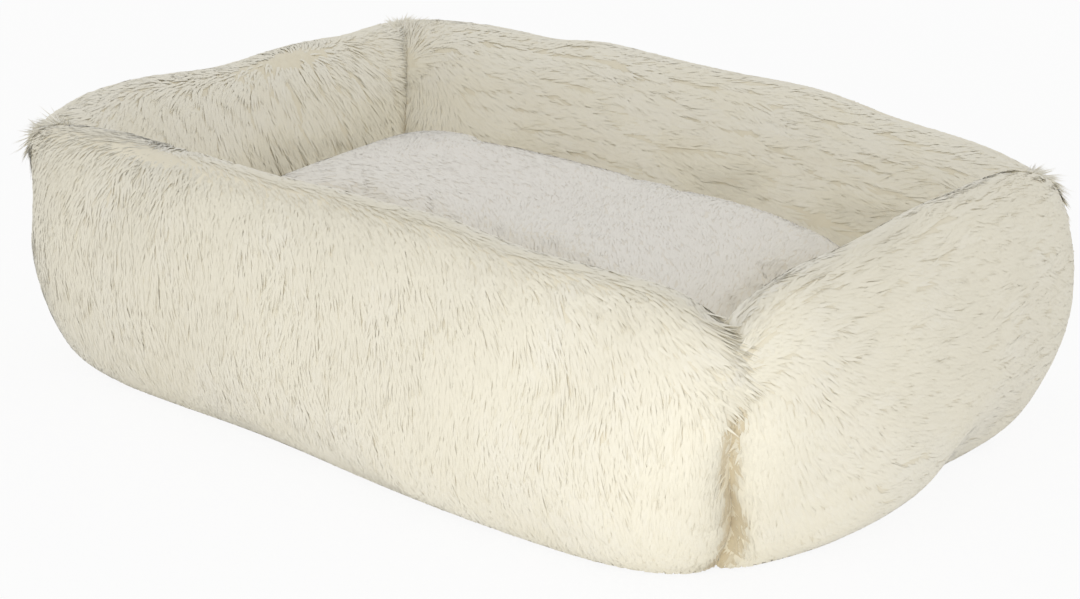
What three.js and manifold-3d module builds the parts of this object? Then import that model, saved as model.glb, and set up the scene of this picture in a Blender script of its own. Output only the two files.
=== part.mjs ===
// A rectangular pet bed: four padded plush walls sewn together at their corners, round a loose zipped cushion.
// Lengths are in millimetres. X runs along the bed, Y from its front to its back, and Z up from the floor.
import * as THREE from "three";
import { mergeVertices } from "three/addons/utils/BufferGeometryUtils.js";
import Module from "manifold-3d";

const wasm = await Module();
wasm.setup();

// Walls
const seamLength = 812; // between the upper corner seams, along the bed
const seamWidth = 530; // between the upper corner seams, across it
const wallHeight = 250; // floor to the ridge seam, in the middle of a wall
const cornerHeight = 230; // floor to the top of a corner seam
const wallDepth = 140; // upper corner seam line to the inner foot
const wallBow = 8; // how much further out a wall's middle lies than its ends
const plushDepth = 12; // backing and the pile lying on it
const cornerReach = 60; // how far along a wall the pull of a corner seam is felt
const sewnGap = 0.3; // between pieces that are sewn, laid or moulded together

// Base
const baseFabric = 2; // coated bottom cloth
const waddingDepth = 6;
const liningFabric = 1.6;

// Loose cushion
const cushionDepth = 178; // underside to crown
const cushionSeamHeight = 106; // cushion underside to its edge seam
const cushionRoom = 5; // free space between the cushion's points and the walls
const cushionDrawIn = 12; // how far its sides are drawn in between the points
const cushionTaper = 26; // how far the underside is smaller than the edge seam
const cushionPlush = 7; // short pile top
const cushionCloth = 3; // plain underside

// Zip in the cushion's back edge
const zipLength = 260; // row of teeth
const toothPitch = 5;
const toothLap = 1.3; // how far a tooth reaches past the chain's middle
const toothFlare = 0.8; // how much wider a tooth is at its tip than at its root
const toothDepth = 2.2;
const toothRoom = 0.35; // play round a tooth
const zipCordHeight = 1.2; // sewn edge that the teeth are moulded on
const zipCordDepth = 1.6;
const tapeDepth = 0.8;
const tapeHeight = 4.5;
const tapeTail = 3; // tape past the stops
const zipRecess = 1; // the tape's middle behind the cushion's edge
const stopLength = 3;

// Slider and pull
const sliderLength = 12;
const sliderPlate = 1;
const sliderRim = 1.2;
const sliderCorner = 2.4;
const sliderRoom = 0.5; // play between the slider and what it runs on or past
const postLength = 3;
const postHeight = 1.6;
const archLength = 8;
const archRise = 3.2;
const archWidth = 2;
const archBar = 1.1;
const pullLength = 24;
const pullHeight = 8;
const pullTipRadius = 2.8;
const pullDepth = 1.2;
const pullArm = 1.2;
const pullWindow = 7;
const pullPlay = 0.35;

// A wall's outline in its middle and at a corner seam. Shares of the wall's depth are positive outwards from
// the upper seam line, shares of its rise are upwards, and the shoulders are shares of the depth to each side
// of the ridge.
const middleShares = {
  footShare: 0.02, bulgeShare: 0.59, bulgeHeightShare: 0.24, ridgeShare: -0.15, shoulderShare: 0.42,
  innerShoulderShare: 0.34, bellyShare: -1.02, bellyHeightShare: 0.25,
};
const cornerShares = {
  footShare: -0.33, bulgeShare: -0.24, bulgeHeightShare: 0.34, ridgeShare: -0.18, shoulderShare: 0.38,
  innerShoulderShare: 0.34, bellyShare: -0.97, bellyHeightShare: 0.25,
};

// Fineness of the meshes, and the powers that set how square the cushion's curves are
const stepsAround = 8;
const stepsAlong = 16;
const stationCrowding = 1.7; // above 1, the stations crowd towards a wall's ends
const cushionSteps = [16, 12];
const crownPower = 6;
const undersidePower = 10;
const edgePower = 0.5;
const drawInPower = 4;
const overrun = 5; // how far a cutter runs past what it cuts

const materials = {
  plush: new THREE.MeshStandardMaterial({ color: 0xe9e1cc, roughness: 0.95, metalness: 0 }),
  shortPlush: new THREE.MeshStandardMaterial({ color: 0xe4e1da, roughness: 0.95, metalness: 0 }),
  cloth: new THREE.MeshStandardMaterial({ color: 0xddd6c6, roughness: 0.9, metalness: 0 }),
  bottomCloth: new THREE.MeshStandardMaterial({ color: 0xcfc8b8, roughness: 0.8, metalness: 0 }),
  wadding: new THREE.MeshStandardMaterial({ color: 0xf6f5f1, roughness: 1, metalness: 0 }),
  zip: new THREE.MeshStandardMaterial({ color: 0xe6e1d5, roughness: 0.5, metalness: 0 }),
  metal: new THREE.MeshStandardMaterial({ color: 0xb9b9b6, roughness: 0.35, metalness: 0.9 }),
};

const bed = new THREE.Group();

function addPiece(name, geometry, material) {
  const mesh = new THREE.Mesh(geometry, material);
  mesh.name = name;
  bed.add(mesh);
}

// Solids for boolean work

function toSolid(geometry) {
  const bare = geometry.index ? geometry.toNonIndexed() : geometry.clone();
  const position = new THREE.BufferGeometry().setAttribute("position", bare.getAttribute("position"));
  const merged = mergeVertices(position, 1e-4);
  return new wasm.Manifold(
    new wasm.Mesh({
      numProp: 3,
      vertProperties: merged.attributes.position.array,
      triVerts: new Uint32Array(merged.index.array),
    }),
  );
}

function toGeometry(solid) {
  const mesh = solid.getMesh();
  const places = new Float32Array(mesh.numVert * 3);
  for (let i = 0; i < mesh.numVert; i++) {
    places.set(mesh.vertProperties.subarray(i * mesh.numProp, i * mesh.numProp + 3), i * 3);
  }
  const geometry = new THREE.BufferGeometry();
  geometry.setAttribute("position", new THREE.BufferAttribute(places, 3));
  geometry.setIndex(new THREE.BufferAttribute(new Uint32Array(mesh.triVerts), 1));
  geometry.computeVertexNormals();
  return geometry;
}

function joined(solids) {
  return solids.reduce((whole, next) => whole.add(next));
}

function block(lowX, highX, lowY, highY, lowZ, highZ) {
  const box = new THREE.BoxGeometry(highX - lowX, highY - lowY, highZ - lowZ);
  return toSolid(box.translate((lowX + highX) / 2, (lowY + highY) / 2, (lowZ + highZ) / 2));
}

// An outline drawn in X and Z, given its thickness from lowY to highY
function upright(shape, lowY, highY) {
  const geometry = new THREE.ExtrudeGeometry(shape, {
    depth: highY - lowY, bevelEnabled: false, curveSegments: 5,
  });
  return toSolid(geometry.rotateX(Math.PI / 2).translate(0, highY, 0));
}

// An outline drawn in X and Y, given its thickness upwards from bottom
function layer(shape, bottom, depth) {
  const geometry = new THREE.ExtrudeGeometry(shape, { depth, bevelEnabled: false, curveSegments: 5 });
  return geometry.translate(0, 0, bottom);
}

function shapeThrough(points) {
  return new THREE.Shape(points.map(([x, y]) => new THREE.Vector2(x, y)));
}

function rectangle(lowX, highX, lowY, highY) {
  return shapeThrough([[lowX, lowY], [highX, lowY], [highX, highY], [lowX, highY]]);
}

function roundedRectangle(lowX, highX, lowY, highY, radius) {
  const shape = new THREE.Shape();
  shape.moveTo(lowX + radius, lowY);
  shape.absarc(highX - radius, lowY + radius, radius, -Math.PI / 2, 0, false);
  shape.absarc(highX - radius, highY - radius, radius, 0, Math.PI / 2, false);
  shape.absarc(lowX + radius, highY - radius, radius, Math.PI / 2, Math.PI, false);
  shape.absarc(lowX + radius, lowY + radius, radius, Math.PI, Math.PI * 1.5, false);
  return shape;
}

// Faces wound outwards, whichever way the rings ran
function facingOut(geometry) {
  if (toSolid(geometry).volume() < 0) {
    const index = geometry.index.array;
    for (let i = 0; i < index.length; i += 3) [index[i + 1], index[i + 2]] = [index[i + 2], index[i + 1]];
  }
  geometry.computeVertexNormals();
  return geometry;
}

// A closed skin over rings of points, with an end cap on the first ring and on the last
function throughRings(rings, capFaces) {
  const around = rings[0].length;
  const faces = [];
  const at = (i, j) => i * around + (j % around);
  for (let i = 0; i + 1 < rings.length; i++) {
    for (let j = 0; j < around; j++) {
      faces.push(at(i, j), at(i, j + 1), at(i + 1, j + 1), at(i, j), at(i + 1, j + 1), at(i + 1, j));
    }
  }
  const last = rings.length - 1;
  for (const [a, b, c] of capFaces(around)) {
    faces.push(at(0, c), at(0, b), at(0, a), at(last, a), at(last, b), at(last, c));
  }
  const geometry = new THREE.BufferGeometry();
  const places = rings.flat().flatMap((p) => [p.x, p.y, p.z]);
  geometry.setAttribute("position", new THREE.Float32BufferAttribute(places, 3));
  geometry.setIndex(faces);
  return facingOut(geometry);
}

// A cap over a ring that can be seen whole from its first point
function fanCap(around) {
  return Array.from({ length: around - 2 }, (_, k) => [0, k + 1, k + 2]);
}

// A cap over a ring that runs out along one face of a sheet and back along the other
function stripCap(around) {
  return Array.from({ length: around / 2 - 1 }, (_, k) => {
    const back = around - 1 - k;
    return [[k, k + 1, back], [k + 1, back - 1, back]];
  }).flat();
}

// Walls, each in its own frame: along is towards its left end, and out is away from the cushion

const halfLength = seamLength / 2;
const halfWidth = seamWidth / 2;
const wallFoot = baseFabric + sewnGap;
const walls = [
  { name: "front", quarterTurns: 0, half: halfLength, apart: halfWidth },
  { name: "right", quarterTurns: 1, half: halfWidth, apart: halfLength },
  { name: "back", quarterTurns: 2, half: halfLength, apart: halfWidth },
  { name: "left", quarterTurns: 3, half: halfWidth, apart: halfLength },
];

// The wall's outline at a station from -1 to 1 along it: an outer and an inner curve that meet at the ridge
function outlineAt(wall, station) {
  const pull = Math.exp(-((1 - Math.abs(station)) * wall.half) / cornerReach);
  const share = (key) => THREE.MathUtils.lerp(middleShares[key], cornerShares[key], pull);
  const bow = wallBow * (1 - station * station);
  const top = THREE.MathUtils.lerp(wallHeight, cornerHeight, pull);
  const rise = top - wallFoot;
  const ridge = bow + share("ridgeShare") * wallDepth;
  const point = (x, y) => new THREE.Vector2(x, y);
  return {
    outer: new THREE.CubicBezierCurve(
      point(bow + share("footShare") * wallDepth, wallFoot),
      point(bow + share("bulgeShare") * wallDepth, wallFoot + share("bulgeHeightShare") * rise),
      point(ridge + share("shoulderShare") * wallDepth, top),
      point(ridge, top),
    ),
    inner: new THREE.CubicBezierCurve(
      point(-wallDepth, wallFoot),
      point(share("bellyShare") * wallDepth, wallFoot + share("bellyHeightShare") * rise),
      point(ridge - share("innerShoulderShare") * wallDepth, top),
      point(ridge, top),
    ),
  };
}

// Points along a curve, moved into the wall by a depth: a foot moves level, and a ridge straight down
function inset(curve, depth, side) {
  return Array.from({ length: stepsAround + 1 }, (_, k) => {
    const t = k / stepsAround;
    const tangent = curve.getTangent(t);
    const inwards = new THREE.Vector2(-tangent.y, tangent.x).multiplyScalar(side);
    if (k === 0) inwards.set(-side, 0);
    if (k === stepsAround) inwards.set(0, -1);
    return curve.getPoint(t).addScaledVector(inwards, depth);
  });
}

const stations = Array.from({ length: stepsAlong + 1 }, (_, i) => {
  const even = (2 * i) / stepsAlong - 1;
  return Math.sign(even) * (1 - (1 - Math.abs(even)) ** stationCrowding);
});

// The walls are mitred, so a station spreads as it goes outwards
function placed(wall, station, p) {
  const place = new THREE.Vector3(station * (wall.half + p.x - sewnGap), -wall.apart - p.x, p.y);
  return place.applyAxisAngle(new THREE.Vector3(0, 0, 1), (wall.quarterTurns * Math.PI) / 2);
}

// side is 1 for the outer panel and -1 for the inner one
function wallPanel(wall, side) {
  const rings = stations.map((station) => {
    const outline = outlineAt(wall, station);
    const curve = side > 0 ? outline.outer : outline.inner;
    const face = inset(curve, 0, side);
    const back = inset(curve, plushDepth, side);
    for (const ridge of [face[stepsAround], back[stepsAround]]) ridge.x += (side * sewnGap) / 2;
    const [first, second] = side > 0 ? [face, back] : [back, face];
    return [...first, ...second.reverse()].map((p) => placed(wall, station, p));
  });
  return throughRings(rings, stripCap);
}

function wallFilling(wall) {
  const depth = plushDepth + sewnGap;
  const rings = stations.map((station) => {
    const outline = outlineAt(wall, station);
    const innerSide = inset(outline.inner, depth, -1).slice(0, stepsAround);
    const outerSide = inset(outline.outer, depth, 1);
    return [...innerSide, ...outerSide.reverse()].map((p) => placed(wall, station, p));
  });
  return throughRings(rings, fanCap);
}

for (const wall of walls) {
  addPiece(`${wall.name}_outer_panel`, wallPanel(wall, 1), materials.plush);
  addPiece(`${wall.name}_inner_panel`, wallPanel(wall, -1), materials.plush);
  addPiece(`${wall.name}_filling`, wallFilling(wall), materials.wadding);
}

// Base: the bottom cloth runs out to the walls' feet, and the padded floor lies between them

const footLine = walls.flatMap((wall) =>
  stations.slice(0, stepsAlong).map((station) => {
    const foot = placed(wall, station, outlineAt(wall, station).outer.getPoint(0));
    return [foot.x, foot.y];
  }),
);
const floorHalfX = halfLength - wallDepth - sewnGap;
const floorHalfY = halfWidth - wallDepth - sewnGap;
const floorShape = rectangle(-floorHalfX, floorHalfX, -floorHalfY, floorHalfY);
const liningBottom = wallFoot + waddingDepth + sewnGap;
addPiece("base_panel", layer(shapeThrough(footLine), 0, baseFabric), materials.bottomCloth);
addPiece("base_wadding", layer(floorShape, wallFoot, waddingDepth), materials.wadding);
addPiece("floor_lining", layer(floorShape, liningBottom, liningFabric), materials.cloth);

// Cushion

const cushionFloor = liningBottom + liningFabric + sewnGap;
const cushionSeam = cushionFloor + cushionSeamHeight;

// How far the wall's inner face stands from the upper seam line at a height, in the middle of a wall
function innerFaceAt(height) {
  const points = outlineAt(walls[0], 0).inner.getPoints(stepsAround * 4);
  const above = points.findIndex((p) => p.y >= height);
  const [low, high] = [points[above - 1], points[above]];
  return -THREE.MathUtils.mapLinear(height, low.y, high.y, low.x, high.x);
}

const cushionHalfX = halfLength - innerFaceAt(cushionSeam) - cushionRoom;
const cushionHalfY = halfWidth - innerFaceAt(cushionSeam) - cushionRoom;

function swell(u, v, power) {
  return ((1 - Math.abs(u) ** power) * (1 - Math.abs(v) ** power)) ** edgePower;
}

// A point of the skin at u and v from -1 to 1, a depth under its face and a lift off the seam's plane.
// side is 1 above the edge seam and -1 below it, where the cushion tapers.
function cushionPoint(u, v, side, depth, lift) {
  const rise = side > 0 ? cushionDepth - cushionSeamHeight : cushionSeamHeight;
  const share = swell(u, v, side > 0 ? crownPower : undersidePower);
  const drawn = (w) => cushionDrawIn * (1 - Math.abs(w) ** drawInPower) + (side < 0 ? cushionTaper * share : 0);
  return new THREE.Vector3(
    u * (cushionHalfX - depth - drawn(v)),
    v * (cushionHalfY - depth - drawn(u)),
    cushionSeam + side * (lift + (rise - depth - lift) * share),
  );
}

// A closed solid between two skins over one grid, joined round the edge
function betweenSkins(above, below) {
  const [nu, nv] = cushionSteps;
  const places = [];
  const faces = [];
  const crowd = (k, n) => Math.sin((k / n - 1 / 2) * Math.PI);
  for (const skin of [above, below]) {
    for (let i = 0; i <= nu; i++) {
      for (let j = 0; j <= nv; j++) {
        const p = skin(crowd(i, nu), crowd(j, nv));
        places.push(p.x, p.y, p.z);
      }
    }
  }
  const at = (skin, i, j) => (skin * (nu + 1) + i) * (nv + 1) + j;
  const quad = (a, b, c, d) => faces.push(a, b, c, a, c, d);
  for (let i = 0; i < nu; i++) {
    for (let j = 0; j < nv; j++) {
      quad(at(0, i, j), at(0, i + 1, j), at(0, i + 1, j + 1), at(0, i, j + 1));
      quad(at(1, i, j), at(1, i, j + 1), at(1, i + 1, j + 1), at(1, i + 1, j));
    }
    quad(at(1, i, 0), at(1, i + 1, 0), at(0, i + 1, 0), at(0, i, 0));
    quad(at(0, i, nv), at(0, i + 1, nv), at(1, i + 1, nv), at(1, i, nv));
  }
  for (let j = 0; j < nv; j++) {
    quad(at(0, 0, j), at(0, 0, j + 1), at(1, 0, j + 1), at(1, 0, j));
    quad(at(1, nu, j), at(1, nu, j + 1), at(0, nu, j + 1), at(0, nu, j));
  }
  const geometry = new THREE.BufferGeometry();
  geometry.setAttribute("position", new THREE.Float32BufferAttribute(places, 3));
  geometry.setIndex(faces);
  return toSolid(facingOut(geometry));
}

const topSkin = (depth, lift) => (u, v) => cushionPoint(u, v, 1, depth, lift);
const underSkin = (depth, lift) => (u, v) => cushionPoint(u, v, -1, depth, lift);

// Zip: the tapes stand upright in the cushion's back edge, one above the chain's middle and one below it

const zipY = cushionHalfY - cushionDrawIn - zipRecess;
const cordNear = toothLap + toothRoom;
const cordFar = cordNear + zipCordHeight;
const tapeFar = cordFar + tapeHeight;
const rowEnd = zipLength / 2;
const sliderOverhang = postLength + sliderRoom * 2;
const topStop = rowEnd + sliderOverhang + sewnGap;
const tapeEnd = topStop + stopLength + tapeTail;
const plateInner = toothDepth / 2 + sliderRoom;
const plateOuter = plateInner + sliderPlate;
const channelHalf = cordFar + sliderRoom;
const sliderHalf = channelHalf + sliderRim;

// The recess for the zip: shallow behind the tapes, and deeper where the slider runs
function zipRecessSolid() {
  const end = tapeEnd + sewnGap;
  const outside = cushionHalfY + overrun;
  const tapeHalf = tapeFar + sewnGap;
  const runHalf = sliderHalf + sliderRoom;
  const shallow = block(
    -end, end, zipY - tapeDepth / 2 - sewnGap, outside, cushionSeam - tapeHalf, cushionSeam + tapeHalf,
  );
  const deep = block(
    -end, end, zipY - plateOuter - sliderRoom, outside, cushionSeam - runHalf, cushionSeam + runHalf,
  );
  return shallow.add(deep);
}

// A tooth widens towards its tip, so that the two rows hook into each other
function toothShape(x, side) {
  const lapped = (2 * cordNear) / (cordNear + toothLap);
  const root = (toothPitch - 2 * toothRoom - toothFlare * lapped) / 4;
  const tip = root + toothFlare / 2;
  const base = cordNear + zipCordHeight / 2;
  return shapeThrough([
    [x - root, side * base], [x - root, side * cordNear], [x - tip, -side * toothLap],
    [x + tip, -side * toothLap], [x + root, side * cordNear], [x + root, side * base],
  ].reverse());
}

// One tape with its sewn cord, its row of teeth and its stop. side is 1 for the upper one.
function zipHalf(side) {
  const strip = (lowX, highX, near, far, depth) => {
    const [low, high] = side > 0 ? [near, far] : [-far, -near];
    return block(lowX, highX, zipY - depth / 2, zipY + depth / 2, low, high);
  };
  const tape = strip(-tapeEnd, tapeEnd, cordNear, tapeFar, tapeDepth);
  const cord = strip(-rowEnd, tapeEnd - tapeTail, cordNear, cordFar, zipCordDepth);
  const stop = strip(topStop, topStop + stopLength, toothRoom, cordFar, toothDepth);
  const firstTooth = -rowEnd + toothPitch / 4 + (side < 0 ? toothPitch / 2 : 0);
  const count = Math.floor((rowEnd - firstTooth) / toothPitch) + 1;
  const teeth = Array.from({ length: count }, (_, i) => {
    const shape = toothShape(firstTooth + i * toothPitch, side);
    return upright(shape, zipY - toothDepth / 2, zipY + toothDepth / 2);
  });
  return joined([tape, cord, stop, ...teeth]).translate(0, 0, cushionSeam);
}

// The lower stop closes the slit between the tapes, past the first tooth
function endStop() {
  const start = -rowEnd - sewnGap;
  const half = toothLap;
  return block(
    start - stopLength, start, zipY - toothDepth / 2, zipY + toothDepth / 2, cushionSeam - half, cushionSeam + half,
  );
}

// Slider at the closed end of the zip: two plates on a post, with rims that keep the two rows together
const sliderFront = rowEnd + sliderOverhang;
const sliderBack = sliderFront - sliderLength;
const sliderMiddle = (sliderFront + sliderBack) / 2;

function sliderSolid() {
  const outline = roundedRectangle(sliderBack, sliderFront, -sliderHalf, sliderHalf, sliderCorner);
  const channel = block(
    sliderBack - overrun, sliderFront + overrun, -plateInner, plateInner, -channelHalf, channelHalf,
  );
  const tapeSlit = block(
    sliderBack - overrun, sliderFront + overrun, -tapeDepth / 2 - sliderRoom, tapeDepth / 2 + sliderRoom,
    -sliderHalf - overrun, sliderHalf + overrun,
  );
  const body = upright(outline, -plateOuter, plateOuter).subtract(channel).subtract(tapeSlit);
  const postEnd = sliderFront - sliderRoom;
  const post = block(
    postEnd - postLength, postEnd, -plateInner - sliderPlate / 2, plateInner + sliderPlate / 2,
    -postHeight / 2, postHeight / 2,
  );
  return joined([body, post, archSolid()]).translate(0, zipY, cushionSeam);
}

function archSolid() {
  const root = plateOuter - sliderPlate / 2;
  const crown = plateOuter + archRise;
  const half = archLength / 2;
  const arch = layer(roundedRectangle(-half, half, root, crown, archBar), -archWidth / 2, archWidth);
  const under = layer(
    rectangle(-half + archBar, half - archBar, plateOuter, crown - archBar), -archWidth, archWidth * 2,
  );
  return toSolid(arch).subtract(toSolid(under)).translate(sliderMiddle, 0, 0);
}

// The pull's cross bar lies under the arch, and its tag points back along the closed teeth
const hingeX = sliderMiddle + archLength / 2 - archBar - pullArm / 2 - pullPlay;
const hingeY = zipY + plateOuter + pullPlay + pullDepth / 2;

function pullSolid() {
  const half = pullHeight / 2;
  const bar = pullArm / 2;
  const tip = -pullLength + pullTipRadius;
  const shape = new THREE.Shape();
  shape.moveTo(bar, -half);
  shape.lineTo(bar, half);
  shape.lineTo(-bar - pullWindow - pullArm, half);
  shape.lineTo(tip, pullTipRadius);
  shape.absarc(tip, 0, pullTipRadius, Math.PI / 2, Math.PI * 1.5, false);
  shape.lineTo(-bar - pullWindow - pullArm, -half);
  const windowHalf = half - pullArm;
  const window = rectangle(-bar - pullWindow, -bar, -windowHalf, windowHalf);
  const tag = upright(shape, -pullDepth / 2, pullDepth / 2);
  return tag.subtract(upright(window, -pullDepth, pullDepth)).translate(hingeX, hingeY, cushionSeam);
}

const recess = zipRecessSolid();
const seamLift = sewnGap / 2;
const topCover = betweenSkins(topSkin(0, seamLift), topSkin(cushionPlush, seamLift));
const underside = betweenSkins(underSkin(cushionCloth, seamLift), underSkin(0, seamLift));
const stuffing = betweenSkins(topSkin(cushionPlush + sewnGap, 0), underSkin(cushionCloth + sewnGap, 0));
addPiece("cushion_top_cover", toGeometry(topCover.subtract(recess)), materials.shortPlush);
addPiece("cushion_underside", toGeometry(underside.subtract(recess)), materials.cloth);
addPiece("cushion_filling", toGeometry(stuffing.subtract(recess)), materials.wadding);
addPiece("zip_upper_half", toGeometry(zipHalf(1)), materials.zip);
addPiece("zip_lower_half", toGeometry(zipHalf(-1)), materials.zip);
addPiece("zip_end_stop", toGeometry(endStop()), materials.metal);
addPiece("zip_slider", toGeometry(sliderSolid()), materials.metal);
addPiece("zip_pull", toGeometry(pullSolid()), materials.metal);

export default bed;
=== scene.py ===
"""A plush pet bed dressed round its solids: long pile on padded walls, a loose cushion, cloths and a zip."""
import math

import bmesh
import bpy
import numpy as np
from bpy.props import FloatProperty, FloatVectorProperty, IntProperty, PointerProperty
from mathutils import Matrix, Vector, noise
from mathutils.bvhtree import BVHTree


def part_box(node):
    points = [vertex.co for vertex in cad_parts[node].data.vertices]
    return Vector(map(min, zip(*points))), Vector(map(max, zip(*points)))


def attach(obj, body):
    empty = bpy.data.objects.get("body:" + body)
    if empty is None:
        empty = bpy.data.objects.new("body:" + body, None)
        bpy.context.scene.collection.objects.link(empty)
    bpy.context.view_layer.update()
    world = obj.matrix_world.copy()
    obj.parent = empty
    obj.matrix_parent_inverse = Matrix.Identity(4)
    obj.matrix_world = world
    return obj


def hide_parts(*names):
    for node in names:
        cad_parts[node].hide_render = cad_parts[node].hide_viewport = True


bl_info = {
    "name": "Plush Pet Bed",
    "version": (1, 0, 0),
    "blender": (4, 5, 0),
    "location": "View3D > Sidebar > Pet Bed",
    "description": "Builds the covers, cushion, cloths and zip of a bolster pet bed round its solids",
    "category": "Object",
}

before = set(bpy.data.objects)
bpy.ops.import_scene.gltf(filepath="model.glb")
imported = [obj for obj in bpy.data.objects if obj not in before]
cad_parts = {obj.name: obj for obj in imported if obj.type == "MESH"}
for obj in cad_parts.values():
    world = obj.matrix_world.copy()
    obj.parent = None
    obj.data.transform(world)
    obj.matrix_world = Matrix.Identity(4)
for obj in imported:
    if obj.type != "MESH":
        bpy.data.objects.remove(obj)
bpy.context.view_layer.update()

MM = 0.001
DOWN = np.array([0, 0, -1.0])

# Walls, by the quarter turns that bring the front wall to each place
WALLS = {"front": 0, "right": 1, "back": 2, "left": 3}

# A wall's outline in its middle and at a corner seam: shares of its depth outwards and of its rise upwards
MIDDLE_SHARES = {
    "foot": 0.02, "bulge": 0.59, "bulge_height": 0.24, "ridge": -0.15, "shoulder": 0.42,
    "inner_shoulder": 0.34, "belly": -1.02, "belly_height": 0.25,
}
CORNER_SHARES = {
    "foot": -0.33, "bulge": -0.24, "bulge_height": 0.34, "ridge": -0.18, "shoulder": 0.38,
    "inner_shoulder": 0.34, "belly": -0.97, "belly_height": 0.25,
}

# Where the soft walls have sunk or been pulled in: the middle of each place, how far it reaches and the push,
# all in millimetres
SINKINGS = {
    "left wall's ridge": ((-390, 50, 250), 130, (0, 0, -17)),
    "left wall's ridge near the back": ((-400, 180, 250), 60, (0, 0, -9)),
    "back wall's ridge near the left": ((-180, 270, 250), 50, (0, 0, -8)),
    "back wall's ridge near the right": ((300, 270, 250), 120, (0, 0, -13)),
    "back right corner": ((410, 270, 220), 70, (-6, -3, -6)),
    "right wall's near foot": ((430, -225, 20), 80, (-26, 6, 0)),
    "right wall's foot": ((440, 50, 20), 60, (-16, 0, 0)),
    "front wall's left foot": ((-110, -315, 20), 150, (0, 14, 0)),
    "front left corner's waist": ((-410, -280, 160), 38, (12, 9, 0)),
    "near corner's top": ((395, -265, 235), 42, (2, -2, -26)),
    "near corner's seam": ((380, -240, 40), 60, (16, 13, 0)),
}

# The lumps of the stuffing: how far they push its covers, how close they are, the height over the floor at
# which they are whole, and where their noise is read for each axis
LUMP_DEPTH = 6 * MM
LUMPS_PER_METRE = 9
LUMP_HEIGHT = 40 * MM
LUMP_SHIFTS = [Vector((3.1, 0.4, 8.2)), Vector((7.7, 5.2, 1.9)), Vector((0.6, 9.3, 4.5))]

# Panels whose pile is combed along the wall rather than down it: which way along it, and how much it droops.
# Side 1 is outside and -1 inside.
LENGTHWAYS = {("right", 1): (1, 0.3), ("right", -1): (1, 0.3), ("back", -1): (-1, 0.05)}

# Each panel's relief, as a share of its pile's depth, and the size of its locks, as a share of the usual size
RELIEF = {
    ("front", 1): (0.55, 1), ("right", 1): (0.3, 1), ("back", 1): (0.45, 1), ("left", 1): (0.6, 1),
    ("front", -1): (0.45, 1), ("right", -1): (0.4, 1), ("back", -1): (0.5, 1.3), ("left", -1): (0.65, 1.5),
}

# Where the zip is sewn in: how deep the cushion's top and underside lie there, and how much of the slit's
# height each leaves open. The underside passes behind the zip.
SLIT_DEPTHS = {1: 1.5 * MM, -1: 4.2 * MM}
SLIT_LIFTS = {1: 1, -1: -0.8}

# How far the backing's face keeps from the skin that the pile is planted on
BACKING_GAP = 0.3 * MM

# The clumps and the tufts of loose fibre to a metre, and how many frames a blown-up panel is given to settle
CLUMPS_PER_METRE = 18
TUFTS_PER_METRE = 70
SETTLE_FRAMES = 20


def millimetres(name, description, default):
    """The setting of a length, with its default in millimetres."""
    return FloatProperty(name=name, description=description, default=default * MM, unit="LENGTH")


def degrees(name, description, default):
    """The setting of an angle, with its default in degrees."""
    return FloatProperty(name=name, description=description, default=math.radians(default), subtype="ANGLE")


def number(name, description, default):
    """The setting of a plain number."""
    return FloatProperty(name=name, description=description, default=default)


def tint(name, description, default):
    """The setting of a colour."""
    return FloatVectorProperty(name=name, description=description, default=default, subtype="COLOR")


class WallSettings(bpy.types.PropertyGroup):
    """The padded walls and their long pile."""

    seam_length: millimetres("Seam length", "Between the upper corner seams, along the bed", 812)
    seam_width: millimetres("Seam width", "Between the upper corner seams, across the bed", 530)
    corner_height: millimetres("Corner height", "Floor to the top of a corner seam", 230)
    depth: millimetres("Wall depth", "Upper seam line to the inner foot", 140)
    bow: millimetres("Bow", "How much further out a wall's middle lies than its ends", 8)
    corner_reach: millimetres("Corner reach", "How far along a wall the pull of a corner seam is felt", 60)
    # Near a corner seam the pile is short, and painted shade turns it tan
    groove: millimetres("Groove", "How far from a corner seam the pile is short and tan", 21)
    hang_reach: millimetres("Hang reach", "How far from a corner lengthways pile hangs down", 110)
    ear_reach: millimetres("Ear reach", "How far along a wall the tufts of an upper corner reach", 28)
    # Painted shade: a tan band on the inner pile at this height, where the cushion's edge meets it
    contact_shade_height: millimetres("Rub height", "Where the cushion's edge rubs the inner pile tan", 165)
    pile_depth: millimetres("Pile depth", "Backing to the laid pile's surface", 3)
    pile_length: millimetres("Pile length", "Root to tip of a strand", 34)
    strand_width: millimetres("Strand width", "Width of a strand at its thickest", 4.2)
    lock_width: millimetres("Lock width", "Width of the locks that the strands gather into", 11)
    lock_length: millimetres("Lock length", "Length of the locks", 32)
    strands: IntProperty(name="Strands", description="Strands on one long wall's outer panel", default=27000)
    colour: tint("Pile colour", "Cream of the walls' pile", (0.90, 0.85, 0.70))
    # The tan of the painted shade down in the corner seams
    crease_shade_colour: tint("Crease colour", "Tan of the pile down in the corner seams", (0.68, 0.58, 0.39))


class CushionSettings(bpy.types.PropertyGroup):
    """The loose cushion and its short pile."""

    draw_in: millimetres("Draw in", "How far the sides are drawn in between the points", 12)
    taper: millimetres("Taper", "How far the underside is smaller than the edge seam", 26)
    pile_depth: millimetres("Pile depth", "Backing to the laid pile's surface", 5)
    pile_length: millimetres("Pile length", "Root to tip of a strand", 17)
    strand_width: millimetres("Strand width", "Width of a strand at its thickest", 3.2)
    lock: millimetres("Lock width", "Width of the locks that the strands gather into", 5)
    strands: IntProperty(name="Strands", description="Strands on the top cover", default=29500)
    crown_power: number("Crown power", "How soon the top levels off", 5)
    underside_power: number("Underside power", "How soon the underside levels off", 10)
    slit: millimetres("Slit", "Height left open for the zip's tapes", 13)
    pressure: number("Pressure", "How hard the covers are blown up", 4)
    swell_cap: millimetres("Swell cap", "How far the blown-up top may move", 6)
    colour: tint("Pile colour", "White of the cushion's pile", (0.93, 0.895, 0.82))
    cloth_colour: tint("Cloth colour", "Off-white of the plain underside", (0.84, 0.82, 0.76))


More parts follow.
